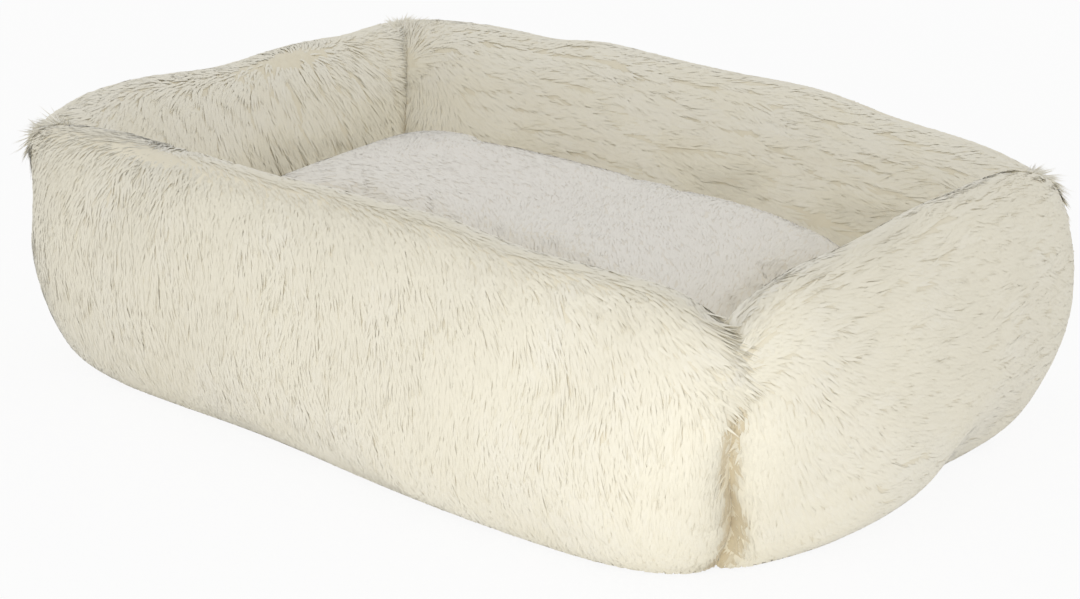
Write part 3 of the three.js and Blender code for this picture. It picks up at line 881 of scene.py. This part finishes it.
class BED_OT_wall_covers(bpy.types.Operator):
    """Covers the four walls, inside and outside, with long combed pile"""

    bl_idname = "bed.wall_covers"
    bl_label = "Wall Covers"

    # Strands on a short wall, and on an inner panel, as shares of those on a long one and on an outer one
    short_share = 0.72
    inner_share = 0.7

    backing_thickness = 1.5 * MM

    def execute(self, context):
        walls = context.scene.bed_walls
        material = pile_finish("long_pile", walls.colour, walls.crease_shade_colour)
        sheets = [WallSheet(name, side) for name in WALLS for side in (1, -1)]
        ground = ground_of([(sheet.points, sheet.faces) for sheet in sheets])
        for number, sheet in enumerate(sheets):
            self.cover(sheet, walls, material, ground, np.random.default_rng(40 + number))
        return {"FINISHED"}

    def cover(self, sheet, walls, material, ground, rng):
        """One panel of backing and pile."""
        outer = sheet.side > 0
        groove, ear, ridge, pressed = sheet.groove, sheet.ear, sheet.ridge, sheet.pressed
        comb, lay = sheet.combed(walls.hang_reach)
        relief, lock_share = RELIEF[sheet.name, sheet.side]
        normals = unit(between(sheet.normals, -DOWN, ridge * 0.8))
        height = walls.pile_depth * relief * (1 - 0.6 * sheet.low)
        height = height * (1 - 0.75 * ridge * (1 - ear)) * (1 + 0.5 * sheet.patch)
        # Painted light: the inner panels, the walls' low parts and the ears' tufts get a lighter tone
        tone = (0.6 if outer else 0.72) + 0.1 * sheet.patch + 0.08 * sheet.low + 0.2 * ear
        skin = Skin(
            sheet.points, sheet.faces,
            normal=normals,
            comb=comb,
            lay=lay,
            length=walls.pile_length * (1 - 0.7 * groove) * (1 - 0.4 * sheet.over),
            height=height * (1 - 0.4 * groove) * (1 - 0.6 * pressed),
            stand=0.8 - 0.4 * ridge + 6 * ear ** 2 - 0.4 * pressed,
            dense=1 + 2 * ear + sheet.turning * ridge,
            swirl=0.22 + 0.2 * sheet.patch + 0.5 * groove + 0.2 * ear,
            pull=0.8,
            width=walls.strand_width * (1 - 0.3 * ear),
            # Painted shade: the tone falls to the crease's tan by the corner seams and in the band by the
            # cushion
            tone=tone - 0.85 * groove - 0.5 * sheet.contact_shade,
        )
        long = WALLS[sheet.name] % 2 == 0
        count = int(walls.strands * (1 if long else self.short_share) * (1 if outer else self.inner_share))
        lock = (walls.lock_width * lock_share, walls.lock_length * lock_share)
        floor = 2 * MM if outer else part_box("floor_lining")[1].z
        grown = pile(skin, count, lock, rng, ground, floor)
        raised = (height * 0.75 * (1 - 0.7 * pressed) - BACKING_GAP) * (1 - smooth(0.95, 1, sheet.t))
        face = sheet.points + normals * raised[:, None]
        where = "outer" if outer else "inner"
        cloth = backing(sheet.bm, face, normals, self.backing_thickness)
        piece = joined_mesh(f"{sheet.name}_{where}_pile", [cloth, grown])
        settle(piece, "walls", [f"{sheet.name}_{where}_panel"], material)


class BED_OT_wall_fillings(bpy.types.Operator):
    """Stuffs the four walls with loose fibre"""

    bl_idname = "bed.wall_fillings"
    bl_label = "Wall Fillings"

    # The share of a ring round the stuffing behind the outer panel, and again behind the inner one. The rest
    # is its underside.
    side_share = 0.42

    end_gap = 6 * MM
    lump_depth = 6 * MM

    def execute(self, context):
        material = wadding_finish()
        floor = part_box("front_filling")[0].z + 1 * MM
        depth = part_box("front_filling")[0].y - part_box("front_outer_panel")[0].y
        for number, (name, turns) in enumerate(WALLS.items()):
            bm, flat = grid_sheet(96, 60)
            station = flat[:, 0]
            around = (flat[:, 1] + 1) / 2
            half, apart = wall_lengths(turns)
            up_outside = np.clip(around / self.side_share, 0, 1)
            down_inside = np.clip(2 - around / self.side_share, 0, 1)
            outer = np.column_stack(wall_outline(station, up_outside, 1, depth, half))
            inner = np.column_stack(wall_outline(station, down_inside, -1, depth, half))
            below = np.clip((around - 2 * self.side_share) / (1 - 2 * self.side_share), 0, 1)
            behind = (around < self.side_share)[:, None]
            out, up = np.where(behind, outer, between(inner, outer, below)).T
            ends = 1 - self.end_gap / half
            points = sunk(wall_places(station * ends, out, np.maximum(up, floor), half, apart, turns))
            piece = stuffed(f"{name}_stuffing", bm, points, self.lump_depth, number * 7)
            settle(piece, "walls", [f"{name}_filling"], material)
        return {"FINISHED"}


class BED_OT_base(bpy.types.Operator):
    """Makes the bottom cloth with its moulded dots, and the padded floor with its quilted lining"""

    bl_idname = "bed.base"
    bl_label = "Base"

    # How square the bottom cloth's corners are, how much a dot narrows downwards, and the lining's thickness
    squareness = 16
    dot_taper = 0.7
    lining_thickness = 0.6 * MM

    def execute(self, context):
        base = context.scene.bed_base
        self.bottom(base)
        self.wadding()
        self.lining(base)
        return {"FINISHED"}

    def bottom(self, base):
        """The coated cloth between the walls' feet, and dots of rubber moulded on its underside."""
        bm, flat = grid_sheet(96, 64)
        half = np.array([wall_lengths(0)[0], wall_lengths(1)[0]])
        foot = [wall_outline(flat[:, k], np.zeros(len(flat)), 1, 0, half[k])[0] for k in range(2)]
        share = np.abs(flat) ** self.squareness
        out = (foot[0] * share[:, 1] + foot[1] * share[:, 0]) / np.maximum(share.sum(1), 1e-9)
        reach = (half + out[:, None] - base.tuck) * flat[:, :2]
        low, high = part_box("base_panel")
        points = sunk(np.column_stack([reach, np.full(len(flat), high.z)]))
        points[:, 2] = high.z
        piece = cloth_piece("bottom_cloth", bm, points, high.z - low.z - base.dot_height)
        bm = bmesh.new()
        bm.from_mesh(piece.data)
        for place in self.dots(base, high):
            bmesh.ops.create_cone(
                bm, cap_ends=True, segments=8, depth=base.dot_height, matrix=Matrix.Translation(place),
                radius1=base.dot_radius * self.dot_taper, radius2=base.dot_radius,
            )
        bm.to_mesh(piece.data)
        bm.free()
        settle(piece, "walls", ["base_panel"], bottom_finish(base.bottom_colour))

    def dots(self, base, high):
        """The middles of the dots, in staggered rows that leave the cloth's corners plain."""
        columns, rows = (int((side - base.dot_margin) / base.dot_pitch) for side in high.xy)
        start_along, start_across, corner_depth = base.plain_corner
        for i in range(-columns, columns + 1):
            for j in range(-rows, rows + 1):
                x = (i + 0.5 * (j % 2)) * base.dot_pitch
                y = j * base.dot_pitch
                if max(abs(x) - start_along, 0) + max(abs(y) - start_across, 0) <= corner_depth:
                    yield Vector((x, y, base.dot_height / 2))

    def wadding(self):
        """The thin fibre sheet in the floor."""
        low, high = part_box("base_wadding")
        bm = bmesh.new()
        bmesh.ops.create_cube(bm, size=2)
        long = [e for e in bm.edges if abs(e.verts[0].co.z - e.verts[1].co.z) < 1]
        bmesh.ops.subdivide_edges(bm, edges=long, cuts=47, use_grid_fill=True)
        points = np.array((low + high) / 2) + corners_of(bm) * np.array((high - low) / 2)
        piece = stuffed("floor_fibre", bm, points, 1.5 * MM, 31)
        settle(piece, "walls", ["base_wadding"], wadding_finish())

    def lining(self, base):
        """The woven lining, sewn through its wadding in crossing lines."""
        bm, flat = grid_sheet(160, 76)
        low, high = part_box("floor_lining")
        across, along = flat[:, 0] * high.x, flat[:, 1] * high.y
        rise = high.z - low.z - self.lining_thickness
        slants = ((value / base.quilt + 0.5) % 1 - 0.5 for value in (across + along, across - along))
        away = np.minimum(*(np.abs(slant) * base.quilt for slant in slants))
        points = np.column_stack([across, along, high.z - rise * np.exp(-away / base.quilt_reach)])
        piece = cloth_piece("quilted_lining", bm, points, self.lining_thickness, (high.x * 2, high.y * 2))
        finish = cloth_finish("floor_cloth", base.lining_colour, 0.9 * MM, 0.8, quilt=base.quilt)
        settle(piece, "walls", ["floor_lining"], finish)


# Cushion

def cushion_grid(columns, rows):
    """A flat grid whose lines close up towards its edges, where the cushion's faces turn over."""
    bm, flat = grid_sheet(columns, rows)
    flat = np.sin(flat * math.pi / 2)
    place_corners(bm, flat)
    return bm, flat


def zip_window(flat):
    """1 along the zip's slit in the cushion's back edge, and 0 away from it."""
    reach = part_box("zip_upper_half")[1].x
    x = flat[:, 0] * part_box("cushion_top_cover")[1].x
    return smooth(-reach, -reach + 12 * MM, -np.abs(x)) * smooth(0.985, 0.999, flat[:, 1])


def cushion_places(flat, side, depth):
    """The cushion's face above its edge seam or below it, at a depth under the face, over a grid."""
    settings = bpy.context.scene.bed_cushion
    half = np.array(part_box("cushion_top_cover")[1])[:2]
    seam = (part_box("cushion_top_cover")[0].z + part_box("cushion_underside")[1].z) / 2
    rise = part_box("cushion_top_cover")[1].z - seam if side > 0 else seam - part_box("cushion_underside")[0].z
    power = settings.crown_power if side > 0 else settings.underside_power
    share = np.sqrt(np.clip((1 - np.abs(flat[:, :2]) ** power).prod(1), 0, 1))
    drawn = settings.draw_in * (1 - np.abs(flat[:, 1::-1]) ** 4)
    if side < 0:
        depth = depth + (settings.pile_depth - depth) * (1 - share)
        drawn = drawn + settings.taper * share[:, None]
    slit = zip_window(flat)
    depth = depth + (SLIT_DEPTHS[side] - depth) * slit
    lift = slit * settings.slit / 2 * SLIT_LIFTS[side]
    plan = flat[:, :2] * (half - depth[:, None] - drawn)
    return np.column_stack([plan, seam + side * (lift + (rise - depth - lift) * share)])


def inflated(bm, points, side, pressure, cap):
    """Where a panel sewn down along its edge settles when it is blown up, within a cap of where it starts."""
    work = bm.copy()
    place_corners(work, points)
    if side < 0:
        bmesh.ops.reverse_faces(work, faces=work.faces[:])
    sewn = [v.index for v in work.verts if v.is_boundary]
    piece = finished("panel", work)
    piece.vertex_groups.new(name="sewn").add(sewn, 1, "REPLACE")
    cloth = piece.modifiers.new("cloth", "CLOTH").settings
    cloth.use_pressure = True
    cloth.uniform_pressure_force = pressure
    cloth.shrink_min = -0.03
    cloth.bending_stiffness = 2
    cloth.vertex_group_mass = "sewn"
    cloth.effector_weights.gravity = 0
    for frame_number in range(1, SETTLE_FRAMES + 1):
        bpy.context.scene.frame_set(frame_number)
    result = piece.evaluated_get(bpy.context.evaluated_depsgraph_get()).data
    moved = np.empty(len(points) * 3, np.float32)
    result.vertices.foreach_get("co", moved)
    moved = moved.reshape(-1, 3) - points
    bpy.data.objects.remove(piece)
    far = np.maximum(np.linalg.norm(moved, axis=1, keepdims=True), 1e-9)
    return points + moved / far * np.minimum(far, cap)


class BED_OT_cushion_covers(bpy.types.Operator):
    """Sews the loose cushion's short-pile top and its plain cloth underside"""

    bl_idname = "bed.cushion_covers"
    bl_label = "Cushion Covers"

    backing_thickness = 1.2 * MM
    cloth_thickness = 0.8 * MM

    def execute(self, context):
        cushion = context.scene.bed_cushion
        self.top(cushion, np.random.default_rng(71))
        self.underside(cushion)
        return {"FINISHED"}

    def top(self, cushion, rng):
        """Backing and short pile, brushed every way in soft whorls."""
        bm, flat = cushion_grid(96, 50)
        points = cushion_places(flat, 1, cushion.pile_depth)
        points = inflated(bm, points, 1, cushion.pressure, cushion.swell_cap)
        faces = triangles_of(bm)
        normals = corner_normals(points, faces)
        slit = zip_window(flat)
        edge = smooth(0.9, 1, np.abs(flat[:, :2]).max(1))
        turn = noise_at(points, 5) * 1.5 - 0.6
        whorl = np.column_stack([np.cos(turn), np.sin(turn), np.zeros(len(turn))])
        outward = flat * [1, 1, 0] + DOWN * 0.6
        comb = between(between(whorl, outward, edge), np.array([1, 0, 0.5]), slit)
        skin = Skin(
            points, faces,
            normal=normals,
            comb=comb,
            lay=points[:, 1::-1],
            length=cushion.pile_length * (1 - 0.5 * slit),
            height=cushion.pile_depth * 0.1 * (1 - 0.6 * slit),
            stand=0.9,
            dense=1,
            swirl=0.25,
            pull=0.25 * (1 - slit),
            width=cushion.strand_width,
            # Painted shade: the tone falls towards the cushion's rim, where it turns down
            tone=0.6 - 0.25 * edge ** 3,
        )
        lock = (cushion.lock, cushion.lock * 2)
        grown = pile(skin, cushion.strands, lock, rng, ground_of([(points, faces)]))
        cloth = backing(bm, points + normals * BACKING_GAP, normals, self.backing_thickness)
        piece = joined_mesh("cushion_top_pile", [cloth, grown])
        # The crease end of the ramp is the painted shade of the cushion's rim
        material = pile_finish("short_pile", cushion.colour, scaled(cushion.colour, 0.8))
        settle(piece, "cushion", ["cushion_top_cover"], material)

    def underside(self, cushion):
        """Woven cloth, gathered a little along the seam."""
        bm, flat = cushion_grid(120, 64)
        points = cushion_places(flat, -1, 0.5 * MM)
        points = inflated(bm, points, -1, cushion.pressure, cushion.swell_cap / 2)
        points[:, 2] = np.maximum(points[:, 2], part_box("cushion_underside")[0].z)
        half = np.array(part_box("cushion_top_cover")[1])
        piece = cloth_piece("cushion_under_cloth", bm, points, self.cloth_thickness, half[:2] * 2 + half[2])
        finish = cloth_finish("cushion_cloth", cushion.cloth_colour, 0.8 * MM, 0.75)
        settle(piece, "cushion", ["cushion_underside"], finish)


class BED_OT_cushion_filling(bpy.types.Operator):
    """Stuffs the cushion with loose fibre"""

    bl_idname = "bed.cushion_filling"
    bl_label = "Cushion Filling"

    # The stuffing's plan, as a share of the covers', and its depth under them, as a share of the solids' gap
    plan_share = 0.985
    depth_share = 1.4

    def execute(self, context):
        bm, flat = cushion_grid(80, 42)
        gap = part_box("cushion_top_cover")[1].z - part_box("cushion_filling")[1].z
        places = [cushion_places(flat * self.plan_share, side, gap * self.depth_share) for side in (1, -1)]
        other_half = bpy.data.meshes.new("other_half")
        bm.to_mesh(other_half)
        bm.from_mesh(other_half)
        bpy.data.meshes.remove(other_half)
        piece = stuffed("cushion_stuffing", bm, np.concatenate(places), 4 * MM, 53)
        settle(piece, "cushion", ["cushion_filling"], wadding_finish())
        return {"FINISHED"}


class BED_OT_zip(bpy.types.Operator):
    """Finishes the zip in the cushion's back edge and sews its tapes in"""

    bl_idname = "bed.zip"
    bl_label = "Zip"

    # Half a stitch's length, as a share of the distance between stitches
    stitch_share = 0.38

    def execute(self, context):
        settings = context.scene.bed_zip
        low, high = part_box("zip_upper_half")
        seam = (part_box("zip_lower_half")[0].z + high.z) / 2
        tape = zip_tape_finish(settings.tape_colour, seam, settings.teeth_reach)
        metal = zip_metal_finish()
        for material, nodes in (
            (tape, ("zip_upper_half", "zip_lower_half")), (metal, ("zip_end_stop", "zip_slider", "zip_pull")),
        ):
            for node in nodes:
                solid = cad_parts[node]
                solid.data.materials.clear()
                solid.data.materials.append(material)
        self.stitches(settings, low, high, seam)
        return {"FINISHED"}

    def stitches(self, settings, low, high, seam):
        """A row of stitches along the far edge of each tape."""
        bm = bmesh.new()
        pitch, inset, radius = settings.stitch_pitch, settings.stitch_inset, settings.thread / 2
        stretch = Matrix.Diagonal((pitch * self.stitch_share, radius, radius, 1))
        for side in (1, -1):
            for k in range(int((high.x - low.x) / pitch)):
                height = seam + side * (high.z - seam - inset)
                place = Vector((low.x + (k + 0.5) * pitch, high.y - inset, height))
                matrix = Matrix.Translation(place) @ stretch
                bmesh.ops.create_uvsphere(bm, u_segments=6, v_segments=4, radius=1, matrix=matrix)
        shade_smooth(bm)
        settle(finished("zip_stitching", bm), "cushion", (), thread_finish(settings.tape_colour))


class BED_OT_stage(bpy.types.Operator):
    """Sets the camera, the floor and the light"""

    bl_idname = "bed.stage"
    bl_label = "Stage"

    # The photograph's frame, and the place of the bed's origin in it, in pixels
    frame_width = 1080
    frame_height = 599
    focal_pixels = 2450
    origin_pixel = (534.5, 376)
    sensor = 36

    floor_size = 12
    floor_colour = (0.92, 0.92, 0.92, 1)

    # The softbox: its width and height, how far from the bed and how high it stands, and its shift from the
    # camera's side
    lamp_size = (1.1, 0.26)
    lamp_distance = 1.35
    lamp_height = 0.15
    lamp_shift = -0.08

    def execute(self, context):
        self.camera(context)
        self.floor()
        self.light(context)
        context.scene.view_settings.view_transform = "Standard"
        return {"FINISHED"}

    def directions(self, context):
        """Towards the camera, and its right and up."""
        stage = context.scene.bed_stage
        turn, rise = stage.azimuth, stage.elevation
        back = Vector((math.sin(turn) * math.cos(rise), -math.cos(turn) * math.cos(rise), math.sin(rise)))
        right = Vector((math.cos(turn), math.sin(turn), 0))
        return back, right, back.cross(right)

    def camera(self, context):
        """The camera at the photograph's angle, aimed so that the bed's origin falls on its pixel."""
        back, right, up = self.directions(context)
        data = bpy.data.cameras.new("camera")
        data.sensor_width = self.sensor
        data.lens = self.focal_pixels / self.frame_width * self.sensor
        data.clip_end = 50
        camera = linked("camera", data)
        camera.location = back * context.scene.bed_stage.distance
        aside = self.frame_width / 2 - self.origin_pixel[0]
        above = self.origin_pixel[1] - self.frame_height / 2
        ahead = right * aside + up * above - back * self.focal_pixels
        camera.rotation_euler = ahead.to_track_quat("-Z", "Y").to_euler()
        context.scene.camera = camera

    def floor(self):
        """A plain pale floor that shows white to the camera, apart from the bed's shadow."""
        bm = bmesh.new()
        bmesh.ops.create_grid(bm, x_segments=1, y_segments=1, size=self.floor_size)
        floor = finished("floor", bm)
        finish = Finish(bpy.data.materials.new("floor"))
        seen = seen_directly(finish)
        lit = finish.add("ShaderNodeBsdfDiffuse", {}, {"Color": self.floor_colour})
        white = finish.add("ShaderNodeEmission", {}, {"Strength": 1.0})
        mixed = finish.add("ShaderNodeMixShader", {}, {0: seen * 0.9, 1: lit, 2: white})
        floor.data.materials.append(finish.finished(mixed, "ShaderNodeOutputMaterial"))

    def light(self, context):
        """Even light from all round, and a softbox beside the camera."""
        stage = context.scene.bed_stage
        finish = Finish(bpy.data.worlds.new("studio"))
        strength = seen_directly(finish) * (1 - stage.sky) + stage.sky
        sky = finish.add("ShaderNodeBackground", {}, {"Strength": strength})
        context.scene.world = finish.finished(sky, "ShaderNodeOutputWorld")
        lamp = bpy.data.lights.new("softbox", "AREA")
        lamp.shape = "RECTANGLE"
        lamp.size, lamp.size_y = self.lamp_size
        lamp.energy = stage.softbox
        softbox = linked("softbox", lamp)
        back = self.directions(context)[0]
        aside = Vector((back.x + self.lamp_shift, back.y, 0)).normalized()
        softbox.location = aside * self.lamp_distance + Vector((0, 0, self.lamp_height))
        softbox.rotation_euler = (-softbox.location).to_track_quat("-Z", "Y").to_euler()
        softbox.visible_camera = False


def seen_directly(finish):
    """1 for what the camera, a reflection or a see-through surface shows, and 0 for what lights the bed."""
    rays = ("Is Camera Ray", "Is Glossy Ray", "Is Transmission Ray")
    seen, *others = [finish.add("ShaderNodeLightPath", output=ray) for ray in rays]
    for other in others:
        seen = seen.math("MAXIMUM", other)
    return seen


class BED_PT_panel(bpy.types.Panel):
    """Lists the bed's pieces"""

    bl_idname = "BED_PT_panel"
    bl_label = "Pet Bed"
    bl_space_type = "VIEW_3D"
    bl_region_type = "UI"
    bl_category = "Pet Bed"

    def draw(self, context):
        for operator in OPERATORS:
            self.layout.operator(operator.bl_idname)
        for name, group in SETTINGS.items():
            self.layout.separator()
            for value in group.__annotations__:
                self.layout.prop(getattr(context.scene, name), value)


SETTINGS = {
    "bed_walls": WallSettings,
    "bed_cushion": CushionSettings,
    "bed_base": BaseSettings,
    "bed_zip": ZipSettings,
    "bed_stage": StageSettings,
}
OPERATORS = [
    BED_OT_wall_covers, BED_OT_wall_fillings, BED_OT_base, BED_OT_cushion_covers, BED_OT_cushion_filling,
    BED_OT_zip, BED_OT_stage,
]


def register():
    """Registers the settings, operators and panel."""
    for name, group in SETTINGS.items():
        bpy.utils.register_class(group)
        setattr(bpy.types.Scene, name, PointerProperty(type=group))
    for kind in [*OPERATORS, BED_PT_panel]:
        bpy.utils.register_class(kind)


def unregister():
    """Takes them out again."""
    for kind in [BED_PT_panel, *OPERATORS]:
        bpy.utils.unregister_class(kind)
    for name, group in SETTINGS.items():
        delattr(bpy.types.Scene, name)
        bpy.utils.unregister_class(group)


def main():
    """Builds the bed."""
    register()
    bpy.ops.bed.wall_covers()
    bpy.ops.bed.wall_fillings()
    bpy.ops.bed.base()
    bpy.ops.bed.cushion_covers()
    bpy.ops.bed.cushion_filling()
    bpy.ops.bed.zip()
    bpy.ops.bed.stage()
    bpy.context.view_layer.update()


if __name__ == "__main__":
    main()
